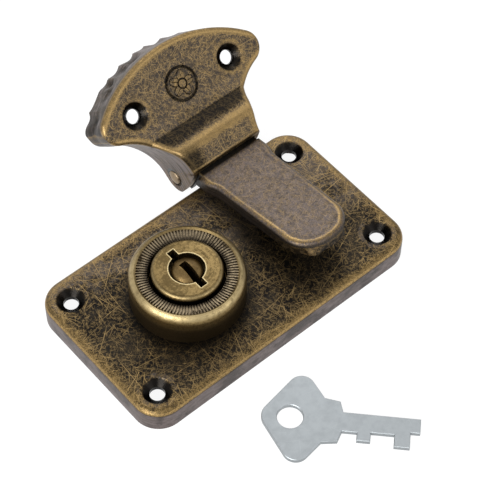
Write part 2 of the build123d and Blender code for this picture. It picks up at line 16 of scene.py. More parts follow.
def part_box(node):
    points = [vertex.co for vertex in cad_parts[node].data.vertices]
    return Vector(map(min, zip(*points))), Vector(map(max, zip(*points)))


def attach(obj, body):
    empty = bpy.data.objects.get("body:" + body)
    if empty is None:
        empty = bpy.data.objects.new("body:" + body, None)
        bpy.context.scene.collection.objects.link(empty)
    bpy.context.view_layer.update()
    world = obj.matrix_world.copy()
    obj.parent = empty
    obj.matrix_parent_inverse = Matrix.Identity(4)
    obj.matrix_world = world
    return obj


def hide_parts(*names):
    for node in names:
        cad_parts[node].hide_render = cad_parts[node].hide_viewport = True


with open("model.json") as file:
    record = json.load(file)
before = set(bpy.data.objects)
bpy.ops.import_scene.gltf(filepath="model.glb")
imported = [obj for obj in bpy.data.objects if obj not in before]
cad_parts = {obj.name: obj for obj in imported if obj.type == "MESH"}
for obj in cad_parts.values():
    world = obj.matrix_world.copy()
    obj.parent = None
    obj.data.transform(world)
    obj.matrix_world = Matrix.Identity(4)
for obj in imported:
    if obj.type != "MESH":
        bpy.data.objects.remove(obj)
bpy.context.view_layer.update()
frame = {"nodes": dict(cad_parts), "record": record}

bl_info = {
    "name": "Box hasp lock looks",
    "version": (1, 0, 0),
    "blender": (4, 5, 0),
    "location": "View3D > Sidebar > Hasp lock",
    "description": "Worn metal finishes, a rippled leaf, a rosette and a studio for the hasp lock",
    "category": "Material",
}

MM = 1000.0
IMAGE_SIZE = 480
SENSOR_WIDTH = 36.0

# The lengths below are in millimetres. The leaf's own frame starts at the hinge: X runs
# across the leaf, T up it and N out of its face.
LEAF_FACE = 5.7
HOOD_CREASE, HOOD_RUN, HOOD_RISE = 9.8, 4.7, 4.5
ARCH_T, ARCH_RADIUS = -2.83, 28.43
WAIST_X, WAIST_RADIUS = 21.84, 13.24
LOBE_X, LOBE_T, LOBE_RADIUS = 16.3, 15.9, 3.6
LEAF_HOLE_X, LEAF_HOLE_T = 12.1, 16.1
RING_T, RING_RADIUS = 16.7, 3.4
LEAF_SEED = 41

# The arm's own frame starts at the hinge too: S runs along the arm and M out of its face.
ARM_NECK_HALF, ARM_HALF, ARM_NARROWING = 8.05, 7.25, 0.5
ARM_TIP, ARM_TIP_CORNER, ARM_TIP_CENTRE = 38.7, 6.2, 31.8

# Radii in the face of the lock cylinder.
PLUG_RADIUS, EYE_RADIUS, DISC_LIP_RADIUS, SHOULDER_RADIUS = 3.15, 3.66, 6.7, 10.6

# Vertices closer than this, in metres, are welded before a mesh is bent, and edges sharper
# than these angles stay sharp, on the bent pieces and on the rosette.
WELD = 1e-7
SHARP_ANGLE, ROSETTE_SHARP_ANGLE = math.radians(28.0), math.radians(50.0)

# The Mix node's sockets for colours, by number, because other sockets share their names.
MIX_FACTOR, MIX_FIRST, MIX_SECOND, MIX_RESULT = 0, 6, 7, 2

# Each lamp's spot, target, width and height, in metres, and its share of the lamp power.
LAMPS = {
    "lamp_left": ((-0.72, -0.20, 0.42), (0.0, 0.0, 0.0), 0.6, 0.5, 1.3),
    "lamp_back": ((0.30, 0.78, 0.70), (0.0, 0.0, 0.0), 0.7, 0.7, 0.42),
    "lamp_front": ((0.30, -0.85, 0.48), (0.0, 0.0, 0.0), 0.7, 0.5, 0.28),
    "lamp_corner": ((0.135, 0.135, 0.20), (0.028, 0.012, 0.0), 0.10, 0.10, 0.011),
}
FLOOR_DROP = -0.00002
# At the floor's share of glow, this strength and the floor's lit colour add up to white.
GLOW_STRENGTH = 1.15


def corners(node):
    """Lowest and highest corner of a CAD node, in millimetres."""
    low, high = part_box(node)
    return np.array(low) * MM, np.array(high) * MM


_, plate_high = corners("lock_plate")
collar_low, collar_high = corners("collar")
pin_low, pin_high = corners("hinge_pin")
hinge_centre = (pin_low + pin_high) / 2
cylinder_centre = (collar_low + collar_high) / 2
collar_radius = (collar_high[0] - collar_low[0]) / 2


def length_property(name, description, millimetres):
    """A property for a length in millimetres."""
    return bpy.props.FloatProperty(
        name=name, description=description + ", in millimetres", default=millimetres, min=0.0
    )


def angle_property(name, description, radians):
    """A property for an angle."""
    return bpy.props.FloatProperty(
        name=name, description=description, default=radians, unit="ROTATION", subtype="ANGLE"
    )


def colour_property(name, description, colour):
    """A property for a linear colour."""
    settings = {"min": 0.0, "max": 1.0, "size": 3, "subtype": "COLOR"}
    return bpy.props.FloatVectorProperty(
        name=name, description=description, default=colour, **settings
    )


def number_property(name, description, number, **settings):
    """A property for any other number, with its limits, unit or subtype."""
    return bpy.props.FloatProperty(name=name, description=description, default=number, **settings)


class HaspSizes(bpy.types.PropertyGroup):
    """Sizes that the finishes, the ripples and the rosette follow."""

    plate_corner: length_property("Plate corner", "Corner radius of the plate", 5.5)
    screw_x: length_property("Screw place X", "Plate's screws from its middle, along it", 28.0)
    screw_y: length_property("Screw place Y", "Plate's screws from its middle, across it", 13.25)
    sink_radius: length_property("Countersink radius", "Radius of each countersink", 2.95)
    arm_tilt: angle_property("Arm tilt", "Angle of the arm above the plate", math.radians(10.0))
    leaf_tilt: angle_property("Leaf tilt", "Angle of the leaf above the plate", math.radians(45.0))
    ripple: length_property("Ripple", "Depth of the ripples in the skirts", 1.0)
    crest_swell: length_property("Crest swell", "How far the hood's crest is rounded up", 0.5)
    pin_proud: length_property("Pin proud", "How far the hinge pin's ends stand out", 0.75)
    dome_drop: length_property("Dome drop", "How far the plug's rim is rounded down", 0.6)
    rosette_radius: length_property("Rosette radius", "Radius of the rosette in the ring", 2.95)
    rosette_rise: length_property("Rosette rise", "Height of the rosette over the leaf", 0.34)


class HaspColours(bpy.types.PropertyGroup):
    """Colours of the finishes."""

    oxide_dark: colour_property(
        "Dark oxide", "Darkest oxide of the antiqued bronze", (0.013, 0.0115, 0.009)
    )
    oxide_grey: colour_property(
        "Grey oxide", "Paler oxide of the antiqued bronze", (0.078, 0.065, 0.056)
    )
    oxide_brown: colour_property(
        "Brown oxide", "Brown stain of the antiqued bronze", (0.070, 0.046, 0.020)
    )
    # Smoother grey oxide for the skirts, lightened to a painted reflection of the white floor.
    skirt_oxide_and_floor_reflection: colour_property(
        "Skirt grey", "Smoother grey oxide on the pieces' skirts", (0.194, 0.157, 0.151)
    )
    stain_grey: colour_property("Stain grey", "Dark stain in the smoother oxide", (0.052, 0.038, 0.026))
    # Black for pits and hollows, also used for painted shade in holes, gaps and under the leaf's hood.
    pit_and_shade_black: colour_property(
        "Pit black", "Black in the pits, holes and hollows of the bronze", (0.005, 0.004, 0.003)
    )
    worn_brown: colour_property(
        "Worn brown", "Bronze where the oxide is rubbed thin", (0.204, 0.135, 0.053)
    )
    # Bright bronze for rubbed-through strokes and edges, also used for painted highlights along edges
    # and crests.
    worn_bronze_and_highlight: colour_property(
        "Worn bronze", "Bronze where a stroke or an edge is rubbed through", (0.47, 0.317, 0.130)
    )
    pin_dark: colour_property("Pin dark", "Dark bronze on the hinge pin's sides", (0.008, 0.007, 0.006))
    pin_worn: colour_property("Pin worn", "Rubbed bronze on the hinge pin's ends", (0.27, 0.205, 0.135))
    cylinder_brass: colour_property(
        "Cylinder brass", "Satin brass of the collar, barrel and plug", (0.260, 0.182, 0.076)
    )
    cylinder_stain: colour_property(
        "Cylinder stain", "Brown stain in the cylinder's brass", (0.095, 0.066, 0.027)
    )
    # Bright brass for rubbed edges, also used for painted highlights on the collar's shoulder and the
    # face's edges.
    brass_edge_and_highlight: colour_property(
        "Brass edge", "Bright brass on the cylinder's rubbed edges", (0.52, 0.42, 0.23)
    )
    plug_brown: colour_property("Plug brown", "Browner brass of the plug", (0.13, 0.078, 0.032))
    knurl_grey: colour_property("Knurl grey", "Greyer brass of the knurled face", (0.215, 0.172, 0.115))
    knurl_dark: colour_property(
        "Knurl dark", "Dark oxide between the knurl's teeth", (0.014, 0.011, 0.009)
    )
    # Dark brown oxide down the collar's wall, with a painted dark reflection of the plate in it.
    wall_brown_and_reflection: colour_property(
        "Wall brown", "Dark brown down the collar's wall", (0.024, 0.016, 0.009)
    )
    gap_black: colour_property(
        "Gap black", "Black in the gaps of the cylinder's face", (0.006, 0.005, 0.004)
    )
    steel: colour_property("Plated steel", "Plated steel of the bolt work", (0.50, 0.50, 0.49))
    key_nickel: colour_property("Key nickel", "Satin nickel of the key", (0.325, 0.348, 0.362))


class HaspStudio(bpy.types.PropertyGroup):
    """The floor, the light and the camera."""

    floor_colour: colour_property("Floor colour", "Colour of the floor", (0.90, 0.90, 0.90))
    floor_glow: number_property(
        "Floor glow",
        "Share of the glow in what the camera and the metal see of the floor",
        0.8,
        min=0.0,
        max=1.0,
        subtype="FACTOR",
    )
    floor_width: number_property(
        "Floor width", "Width of the studio's floor", 6.0, unit="LENGTH", subtype="DISTANCE"
    )
    world_light: number_property(
        "World light", "Strength of the even light from all round", 0.34, min=0.0
    )
    lamp_power: number_property(
        "Lamp power", "Power that each lamp takes its own share of, in watts", 5.8, min=0.0
    )
    azimuth: angle_property("Camera azimuth", "Turn of the camera from looking along +Y", -0.7133)
    elevation: angle_property("Camera elevation", "Angle of the camera above the plate", 0.9536)
    roll: angle_property("Camera roll", "Turn of the camera about its line of sight", 0.0098)
    distance: length_property("Camera distance", "Camera from the plate's middle", 357.93)
    aside: length_property("Camera aside", "Camera to the right of the plate's middle", 2.747)
    above: length_property("Camera above", "Camera above the middle in the picture", 8.2237)
    focal_pixels: number_property(
        "Focal length in pixels", "Focal length of the camera, in pixels of the picture", 1808.76
    )


def operator_method(operation, swapped=False):
    """A method of Value that adds one Math node, with the two values swapped or as they are."""

    def method(self, other):
        pair = (other, self) if swapped else (self, other)
        return self.finish.math(operation, *pair)

    return method


class Value:
    """A shader socket in an expression: the usual operators add Math nodes."""

    def __init__(self, finish, socket):
        self.finish = finish
        self.socket = socket

    __add__, __radd__ = operator_method("ADD"), operator_method("ADD", True)
    __sub__, __rsub__ = operator_method("SUBTRACT"), operator_method("SUBTRACT", True)
    __mul__, __rmul__ = operator_method("MULTIPLY"), operator_method("MULTIPLY", True)
    __truediv__, __pow__ = operator_method("DIVIDE"), operator_method("POWER")

    def __neg__(self):
        return self * -1.0

    def __abs__(self):
        return self.finish.math("ABSOLUTE", self)


class Finish:
    """A finish in the making: a material, and the nodes that its expressions add."""

    def __init__(self, name):
        self.material = bpy.data.materials.new(name)
        self.material.use_nodes = True
        self.tree = self.material.node_tree
        self.surface = self.tree.nodes["Principled BSDF"]

    def put(self, socket, value):
        """Links a Value to a socket, or sets the socket to a number, a vector or a colour."""
        if isinstance(value, Value):
            self.tree.links.new(value.socket, socket)
            return
        if socket.type == "RGBA" and len(value) == 3:
            value = (*value, 1.0)
        socket.default_value = value

    def node(self, kind, settings=None, inputs=None, output=0):
        """Adds one node: first its settings, then the values or links of its sockets."""
        made = self.tree.nodes.new(kind)
        for name, value in (settings or {}).items():
            setattr(made, name, value)
        for key, value in (inputs or {}).items():
            self.put(made.inputs[key], value)
        return Value(self, made.outputs[output])

    def math(self, operation, *values, clamp=False):
        """One Math node."""
        settings = {"operation": operation, "use_clamp": clamp}
        return self.node("ShaderNodeMath", settings, dict(enumerate(values)))

    def vector(self, operation, *values, output=0):
        """One Vector Math node."""
        settings = {"operation": operation}
        return self.node("ShaderNodeVectorMath", settings, dict(enumerate(values)), output)

    def split(self, place):
        """The X, Y and Z of a vector."""
        first = self.node("ShaderNodeSeparateXYZ", {}, {0: place})
        made = first.socket.node
        return [Value(self, made.outputs[i]) for i in range(3)]

    def joined(self, x, y, z=0.0):
        """A vector of three values."""
        return self.node("ShaderNodeCombineXYZ", {}, {0: x, 1: y, 2: z})

    def away(self, x, y):
        """Distance from the origin of a plane."""
        return self.vector("LENGTH", self.joined(x, y), output="Value")

    def mix(self, factor, first, second):
        """Two colours mixed by a factor."""
        return self.node(
            "ShaderNodeMix",
            {"data_type": "RGBA", "clamp_factor": True},
            {MIX_FACTOR: factor, MIX_FIRST: first, MIX_SECOND: second},
            MIX_RESULT,
        )

    def band(self, value, start, end, low=0.0, high=1.0):
        """A smooth step from low at start to high at end."""
        return self.node(
            "ShaderNodeMapRange",
            {"interpolation_type": "SMOOTHSTEP"},
            {0: value, 1: start, 2: end, 3: low, 4: high},
        )

    def least(self, first, second):
        """The smaller of two values."""
        return self.math("MINIMUM", first, second)

    def most(self, first, second):
        """The larger of two values."""
        return self.math("MAXIMUM", first, second)

    def clamped(self, value):
        """A value held between 0 and 1."""
        return self.math("ADD", value, 0.0, clamp=True)

    def place(self, point=(0.0, 0.0, 0.0), turn=0.0):
        """Object coordinates in millimetres from a point, turned about X into a piece's frame."""
        shift = Euler((turn, 0.0, 0.0)).to_matrix() @ Vector(point)
        coordinates = self.node("ShaderNodeTexCoord", output="Object")
        return self.node(
            "ShaderNodeMapping",
            {"vector_type": "POINT"},
            {0: coordinates, 1: tuple(-shift), 2: (turn, 0.0, 0.0), 3: (MM, MM, MM)},
        )

    def noise(self, place, scale, detail, roughness, distortion=0.0):
        """Fractal noise between 0 and 1."""
        inputs = {"Vector": place, "Scale": scale, "Detail": detail}
        inputs |= {"Roughness": roughness, "Distortion": distortion}
        return self.node("ShaderNodeTexNoise", {"noise_dimensions": "3D"}, inputs)

    def waver(self, place, scale, reach):
        """Noise that lets an edge waver by half its reach either way."""
        return (self.noise(place, scale, detail=4.0, roughness=0.65) - 0.5) * reach

    def cells(self, place, scale, seed, dimensions):
        """A Voronoi pattern: its distance, colour and position."""
        spot = self.vector("MULTIPLY_ADD", place, scale, (seed, 1.7 * seed, 0.6 * seed))
        first = self.node(
            "ShaderNodeTexVoronoi",
            {"voronoi_dimensions": dimensions, "feature": "F1"},
            {"Vector": spot, "Scale": 1.0, "Randomness": 1.0},
        )
        colour, position = (
            Value(self, first.socket.node.outputs[name]) for name in ("Color", "Position")
        )
        return spot, first, colour, position

    def strokes(self, flat, cell, width, reach, seed, bend=0.0):
        """Fine lines, three to a cell of a Voronoi pattern: each is in the cell's own frame,
        turned by one random number and shifted by another, and fades towards its ends."""
        scale = (1 / cell, 1 / cell, 0.0)
        spot, _, chance, centre = self.cells(flat, scale, seed, "2D")
        own = self.vector("SUBTRACT", spot, centre)
        chances = self.split(chance)
        lines = 0.0
        for k in range(3):
            turned = self.node(
                "ShaderNodeVectorRotate",
                {"rotation_type": "Z_AXIS"},
                {"Vector": own, "Angle": chances[k] * (2 * math.pi)},
            )
            along, across, _ = self.split(turned)
            aside = across + (chances[(k + 1) % 3] - 0.5) * 0.6 + (along * along) * bend
            line = 1.15 - abs(aside) * (cell / width) - (abs(along) * (cell / reach)) ** 4.0
            line = line * (0.4 + 0.6 * chances[(k + 2) % 3])
            lines = self.most(lines, line)
        return self.clamped(lines)

    def speckles(self, place, cell, size, seed):
        """Small round pits, one to a cell of a Voronoi pattern, each of its own size."""
        _, distance, chance, _ = self.cells(place, (1 / cell, 1 / cell, 1 / cell), seed, "3D")
        return self.clamped(1.0 - distance * (cell / size) / (0.3 + self.split(chance)[0]))

    def bump(self, height, strength, distance):
        """A normal from a height, whose unit is the distance in millimetres."""
        return self.node(
            "ShaderNodeBump",
            {},
            {"Strength": strength, "Distance": distance / MM, "Height": height},
        )

    def done(self, colour, roughness, metallic, normal):
        """Sets the surface, and returns the material."""
        values = {"Base Color": colour, "Roughness": roughness, "Metallic": metallic}
        for name, value in {**values, "Normal": normal}.items():
            self.put(self.surface.inputs[name], value)
        return self.material


def wear(finish, piece):
    """Puts a finish's material on a piece."""
    if not piece.material_slots:
        piece.data.materials.append(finish)
    for slot in piece.material_slots:
        slot.material = finish


def rounded_inset(f, over_x, over_y):
    """Distance outwards from the lines through a rounded rectangle's corner centres."""
    outside = f.away(f.most(over_x, 0.0), f.most(over_y, 0.0))
    return outside + f.least(f.most(over_x, over_y), 0.0)


def antiqued(f, colours, place, flat, masks):
    """Antiqued bronze. Place is the piece's frame and flat its face's own plane. Masks say
    where the face is brushed (top), rubbed thin (edge), rubbed through and given painted
    highlights (shine), left black by oxide in hollows and by painted shade (dark), glossy
    (gloss) and smooth and grey, with a painted reflection of the floor in that grey (skirt),
    how stained it is there (stain) and how patchy elsewhere (patch), where there are more
    strokes (busy), where the oxide is greyer (tone), and how strong the strokes (stroke) and
    the long ones (scratches) are."""
    top, dark, skirt = masks["top"], masks["dark"], masks["skirt"]
    clouds = f.noise(place, scale=0.16, detail=3.0, roughness=0.6)
    mottle = f.noise(place, scale=0.9, detail=5.0, roughness=0.7)
    grain = f.noise(place, scale=4.2, detail=2.0, roughness=0.8)
    sand = f.band(grain, 0.34, 0.66)
    grit = f.speckles(place, cell=0.5, size=0.2, seed=3.1)
    hair = f.strokes(flat, cell=0.75, width=0.045, reach=0.45, seed=2.3, bend=0.6)
    fine = f.strokes(flat, cell=1.5, width=0.045, reach=0.90, seed=7.9, bend=0.3)
    plain = f.strokes(flat, cell=3.2, width=0.055, reach=1.9, seed=5.1, bend=0.08)
    long = f.strokes(flat, cell=8.0, width=0.065, reach=5.5, seed=11.7, bend=0.02)
    scratches = f.most(plain, long) * masks["scratches"]
    lines = f.most(f.most(hair * 0.6, fine * 0.8), scratches)
    thick = f.band(clouds * 0.5 + mottle * 0.5 + masks["busy"], 0.40, 0.60, 0.25, 1.0)
    etched = lines * thick * top * masks["stroke"] * (1.0 - dark * 0.85)
    chance = masks["edge"] + (sand - 0.5) * 0.55 + (mottle - 0.5) * 0.9 + (clouds - 0.5) * 0.8
    worn = f.band(chance, 0.15, 0.95) * (0.6 + sand * 0.4) * (1.0 - dark)
    grey = f.band(mottle * 0.4 + clouds * 0.35 + grain * 0.25 + masks["tone"], 0.40, 0.70)
    oxide = f.mix(grey, colours.oxide_dark, colours.oxide_grey)
    oxide = f.mix(f.band(sand * 0.2 + mottle * 0.8, 0.45, 0.62) * 0.5, oxide, colours.oxide_brown)
    x, _, up = f.split(place)
    streak = f.noise(f.joined(x * 0.5, up * 1.5), scale=1.0, detail=4.0, roughness=0.7)
    side_stain = f.band(streak, 0.38, 0.62) * masks["stain"]
    stain = f.mix(top, side_stain, f.band(mottle, 0.40, 0.62) * 0.6)
    # On the skirts the grey oxide carries a painted reflection of the white floor.
    smooth = f.mix(stain, colours.skirt_oxide_and_floor_reflection, colours.stain_grey)
    oxide = f.mix(skirt, oxide, smooth)
    patch = f.band(clouds * 0.8 + mottle * 0.2, 0.44, 0.60) * masks["patch"]
    pitted = (grit * 0.50 + (1.0 - sand) * 0.38 + patch) * (1.0 - worn * 0.9)
    # The dark mask, black oxide in hollows and painted shade in holes, gaps and under the hood, goes to
    # black here.
    black = f.clamped(dark * (0.97 - masks["gloss"] * 0.14) + pitted * (1.0 - skirt * 0.45))
    colour = f.mix(black, oxide, colours.pit_and_shade_black)
    colour = f.mix(worn * 0.92, colour, colours.worn_brown)
    # Rubbed-through strokes and edges, and the painted highlights of the shine mask, in bright bronze.
    through = f.most(etched * 0.9, masks["shine"] * (0.3 + sand * 0.7))
    colour = f.mix(through, colour, colours.worn_bronze_and_highlight)
    rough = 0.38 + grain * 0.12 - through * 0.10 - masks["gloss"] * 0.25
    height = grain * 1.2 + mottle * 0.5 - grit * 0.6 - etched * 0.6
    normal = f.bump(height * (1.0 - skirt * 0.5), 0.5, 0.05)
    return f.done(colour, rough, 0.88 + worn * 0.12, normal)


def plate_finish(sizes, colours):
    """Bronze of the lock plate: brushed top, rubbed edge with a painted highlight along it,
    painted shade in the countersinks and round the collar's foot, and painted light towards the
    back right.
    """
    f = Finish("plate_bronze_worn")
    place = f.place()
    x, y, z = f.split(place)
    thick = plate_high[2]
    corner = sizes.plate_corner
    over_x = abs(x) - (plate_high[0] - corner)
    over_y = abs(y) - (plate_high[1] - corner)
    inset = corner - rounded_inset(f, over_x, over_y)
    waver = f.waver(place, scale=0.55, reach=4.0)
    hole = f.away(abs(x) - sizes.screw_x, abs(y) - sizes.screw_y)
    foot = f.away(x - cylinder_centre[0], y - cylinder_centre[1])
    top = f.band(z, thick - 0.6, thick - 0.1)
    side = f.band(z, thick - 0.9, thick - 1.25)
    rim = f.band(inset + waver, 3.9, 0.0) * (1.0 - side)
    lip = f.band(abs(hole - sizes.sink_radius - 0.3 + waver * 0.1), 0.7, 0.1) * 0.35 * top
    # Painted shade in the countersinks, which are glossier too.
    sink = f.band(hole + waver * 0.08, sizes.sink_radius + 0.02, sizes.sink_radius - 0.35)
    # Painted shade in a ring round the collar's foot.
    collar_foot_shade = f.band(foot + waver * 0.3, collar_radius + 2.4, collar_radius + 0.2) * 0.75
    # Painted light: towards the back right the plate is paler, greyer, more rubbed and less patchy, and
    # towards the front it is darker.
    back = f.band(y + x * 0.3 + waver * 1.5, -2.0, 19.0)
    masks = {
        "top": top,
        "edge": rim * 1.02 + lip * 0.6 + back * 0.17 - 0.22,
        # The bright line along the rounded edge to the skirt is partly rubbed bronze and partly a
        # painted highlight.
        "shine": f.band(abs(z - thick + 0.70), 0.36, 0.12) * f.band(inset, 2.0, 1.2) * 0.75,
        "dark": f.most(sink, collar_foot_shade * top + (1.0 - back) * top * 0.10),
        "gloss": sink,
        "skirt": side,
        "stain": 0.5,
        "busy": f.band(inset + waver * 0.5, 7.0, 1.5) * 0.14 + back * 0.1,
        "tone": back * 0.60 - 0.06 + lip * 2.0,
        "stroke": 0.86,
        "scratches": 1.0,
        "patch": 0.95 - back * 0.45,
    }
    return antiqued(f, colours, place, f.joined(x, y), masks)


def arm_finish(sizes, colours):
    """Bronze of the arm: greyer than the plate, with a thin rubbed rim, a painted highlight
    along the rim, strongest on the left and towards the tip, and painted shade where the arm
    runs under the leaf's hood.
    """
    f = Finish("arm_bronze_worn")
    place = f.place(hinge_centre, sizes.arm_tilt)
    x, back, m = f.split(place)
    s = -back
    neck = f.band(s, 10.0, 13.5, ARM_NECK_HALF, ARM_HALF)
    half = neck - f.band(s, 13.5, 38.0, 0.0, ARM_NARROWING)
    over_x = abs(x) - half + ARM_TIP_CORNER
    inset = ARM_TIP_CORNER - rounded_inset(f, over_x, s - ARM_TIP + ARM_TIP_CORNER)
    waver = f.waver(place, scale=0.5, reach=0.9)
    top = f.band(m, 4.3, 4.9)
    side = f.band(m, 4.15, 3.8)
    rim = f.band(abs(inset - 0.7 + waver * 0.6), 0.8, 0.15) * (1.0 - side)
    tip = f.band(s, 20.0, 36.0)
    # The rim is brighter on the arm's left: more rubbed there, and with a stronger painted highlight.
    left = f.band(x, -4.0, -7.0)
    dents = f.band(f.noise(place, scale=0.75, detail=3.0, roughness=0.6), 0.42, 0.54)
    dents = dents * side * tip * f.band(m, 3.9, 3.2)
    # A painted highlight in a thin line along the rim.
    glint = f.band(abs(inset - 0.95 + waver * 0.4), 0.32, 0.05) * top
    crease = f.band(abs(inset - 1.65 + waver * 0.4), 0.5, 0.1) * 0.15 * top
    masks = {
        "top": top,
        "edge": rim * (0.46 + tip * 0.36 + left * 0.2) + side * tip * 0.78 - 0.18,
        "shine": glint * (0.02 + tip * 0.35 + left * 0.4),
        # Painted shade where the arm runs under the leaf's hood, with the oxide in the crease and the
        # dents.
        "dark": f.most(crease, f.most(f.band(s + waver * 0.3, 8.6, 7.9), dents * 0.9)),
        "gloss": 0.0,
        "skirt": f.most(side * 0.25, top * 0.42),
        "stain": 1.0,
        "busy": 0.08,
        "tone": 0.10 - side * 0.18,
        "scratches": 0.4,
        "patch": 0.15,
        "stroke": 0.55,
    }
    return antiqued(f, colours, place, f.joined(x, s), masks)


def leaf_inset(f, x, t):
    """Distance in from the leaf's outline: the arch and the waists, or the lobes where they
    reach further."""
    arch = ARCH_RADIUS - f.away(x, t - ARCH_T)
    waist = f.away(abs(x) - WAIST_X, t) - WAIST_RADIUS
    lobe = LOBE_RADIUS - f.away(abs(x) - LOBE_X, t - LOBE_T)
    return f.most(f.least(arch, waist), lobe)


def leaf_finish(sizes, colours):
    """Bronze of the leaf: brushed flat, rubbed rim, paler crest and hood front, painted highlights
    along the crest and edges, a painted dark reflection on the brow and painted shade round the
    pin."""
    f = Finish("leaf_bronze_worn")
    place = f.place(hinge_centre, -sizes.leaf_tilt)
    x, t, n = f.split(place)
    inset = leaf_inset(f, x, t)
    waver = f.waver(place, scale=0.5, reach=1.6)
    under = f.clamped((HOOD_CREASE - t) / HOOD_RUN) * HOOD_RISE + LEAF_FACE - n
    front = f.band(t, 1.9, 0.9)
    top = f.band(under, 0.9, 0.35)
    side = f.band(under, 1.0, 1.5) * f.band(inset, 1.15, 0.95) * f.band(t, 1.0, 2.0)
    ear = f.band(abs(x), 8.0, 8.4) * f.band(t, 6.0, 4.0)
    side = f.most(side, ear * f.band(under, 0.7, 1.2))
    pin = f.away(t, n)
    # The crest band is partly rubbed bronze and partly a painted highlight.
    crest = f.band(abs(t - 5.8 + waver * 0.3), 1.7, 0.3) * top
    hole = f.away(abs(x) - LEAF_HOLE_X, t - LEAF_HOLE_T)
    # Painted shade in the countersinks, which are glossier too.
    sink = f.band(hole + waver * 0.1, sizes.sink_radius + 0.02, sizes.sink_radius - 0.35)
    lip = f.band(abs(hole - sizes.sink_radius - 0.3 + waver * 0.2), 0.7, 0.1) * 0.35 * top
    ring = f.away(x, t - RING_T)
    groove = f.band(abs(ring - RING_RADIUS), 0.5, 0.2) * 0.95
    groove = f.most(groove, f.band(ring, 3.3, 3.0) * 0.2)
    # A painted dark reflection on the brow between the crest and the crease.
    brow = f.band(t, 10.0, 9.6) * f.band(t + waver * 0.5, 6.4, 8.2) * f.band(inset, 0.6, 1.5)
    corner = f.band(x, -3.8, -6.8) * f.band(t + waver, 7.0, 5.0) * top
    hollow = f.band(inset + waver * 0.3, 0.1, 0.8) * side * f.band(t, 12.0, 16.0)
    rim = f.band(inset + waver * 0.35, 1.9, 0.5) * (1.0 - side)
    # Painted shade in the gap round the pin's ends, in the ears.
    recess = f.band(pin, 2.3, 2.1) * f.band(abs(x), 7.7, 7.9)
    right = f.band(x + waver, 0.0, 9.0)
    blot = f.band(f.noise(place, scale=0.35, detail=4.0, roughness=0.6), 0.34, 0.52)
    blot = blot * f.band(x, -2.0, -12.0) * f.band(t, 10.0, 14.0)
    # Here the leaf is only made paler towards the hood's front and towards its right.
    rubbed = (f.band(t, 7.0, 4.5) * 0.12 + right * 0.10) * top
    hollows = corner * 0.9 + hollow * 0.6 + blot * side * 0.25
    masks = {
        "top": f.most(top, front * (1.0 - side)),
        "edge": rim + crest * 0.85 + front * 0.25 + lip + rubbed + 0.17,
        # The shine along the crest, the rim and the hood's lower edge is partly rubbed bronze and
        # partly painted highlight.
        "shine": f.clamped(
            crest * 0.3
            + f.band(abs(inset - 0.75), 0.45, 0.1) * (1.0 - side) * f.band(t, 9.0, 14.0, 0.1, 0.6)
            + f.band(abs(t - 1.2), 0.35, 0.1) * top * 0.4
        ),
        "dark": f.clamped(sink + groove + brow * 0.93 + recess + hollows),
        "gloss": f.most(sink, recess),
        "skirt": side,
        # The skirt is darker and more streaked towards −X, and paler towards +X.
        "stain": f.band(x, 8.0, -11.0, 0.45, 1.0) + blot * 0.9,
        "patch": 0.1,
        "scratches": 0.55,
        "busy": 0.16,
        "tone": 0.13 + f.band(abs(t - 11.2), 1.8, 0.4) * 0.25 * top,
        "stroke": 1.0,
    }
    return antiqued(f, colours, place, f.joined(x, t), masks)


def rosette_finish(sizes, colours):
    """Bronze of the rosette: rubbed on its petals, dark between them."""
    f = Finish("rosette_bronze_worn")
    place = f.place(hinge_centre, -sizes.leaf_tilt)
    x, t, n = f.split(place)
    rise = (n - LEAF_FACE) / sizes.rosette_rise
    masks = {
        "top": 1.0,
        "gloss": 0.0,
        "edge": f.band(rise, 0.55, 1.0) * 0.5,
        "shine": f.band(rise, 0.85, 1.0) * 0.15,
        "dark": f.band(abs(rise - 0.35), 0.38, 0.15),
        "scratches": 0.5,
        "patch": 0.1,
        "skirt": 0.0,
        "stain": 0.5,
        "busy": 0.1,
        "tone": 0.1,
        "stroke": 0.9,
    }
    return antiqued(f, colours, place, f.joined(x, t), masks)


def pin_finish(colours):
    """Bronze of the hinge pin, rubbed on its ends."""
    f = Finish("pin_bronze_worn")
    place = f.place(hinge_centre)
    mottle = f.noise(place, scale=1.2, detail=4.0, roughness=0.65)
    grain = f.noise(place, scale=5.0, detail=2.0, roughness=0.7)
    reach = abs(f.split(place)[0]) - (pin_high[0] - pin_low[0]) / 2
    end = f.band(reach, -0.1, 0.12) * f.band(mottle + (grain - 0.5) * 0.5, 0.3, 0.5, 0.6, 1.0)
    colour = f.mix(end, colours.pin_dark, colours.pin_worn)
    normal = f.bump(mottle * 0.6 + grain * 0.4, 0.4, 0.04)
    return f.done(colour, 0.38 + mottle * 0.15, 1.0, normal)


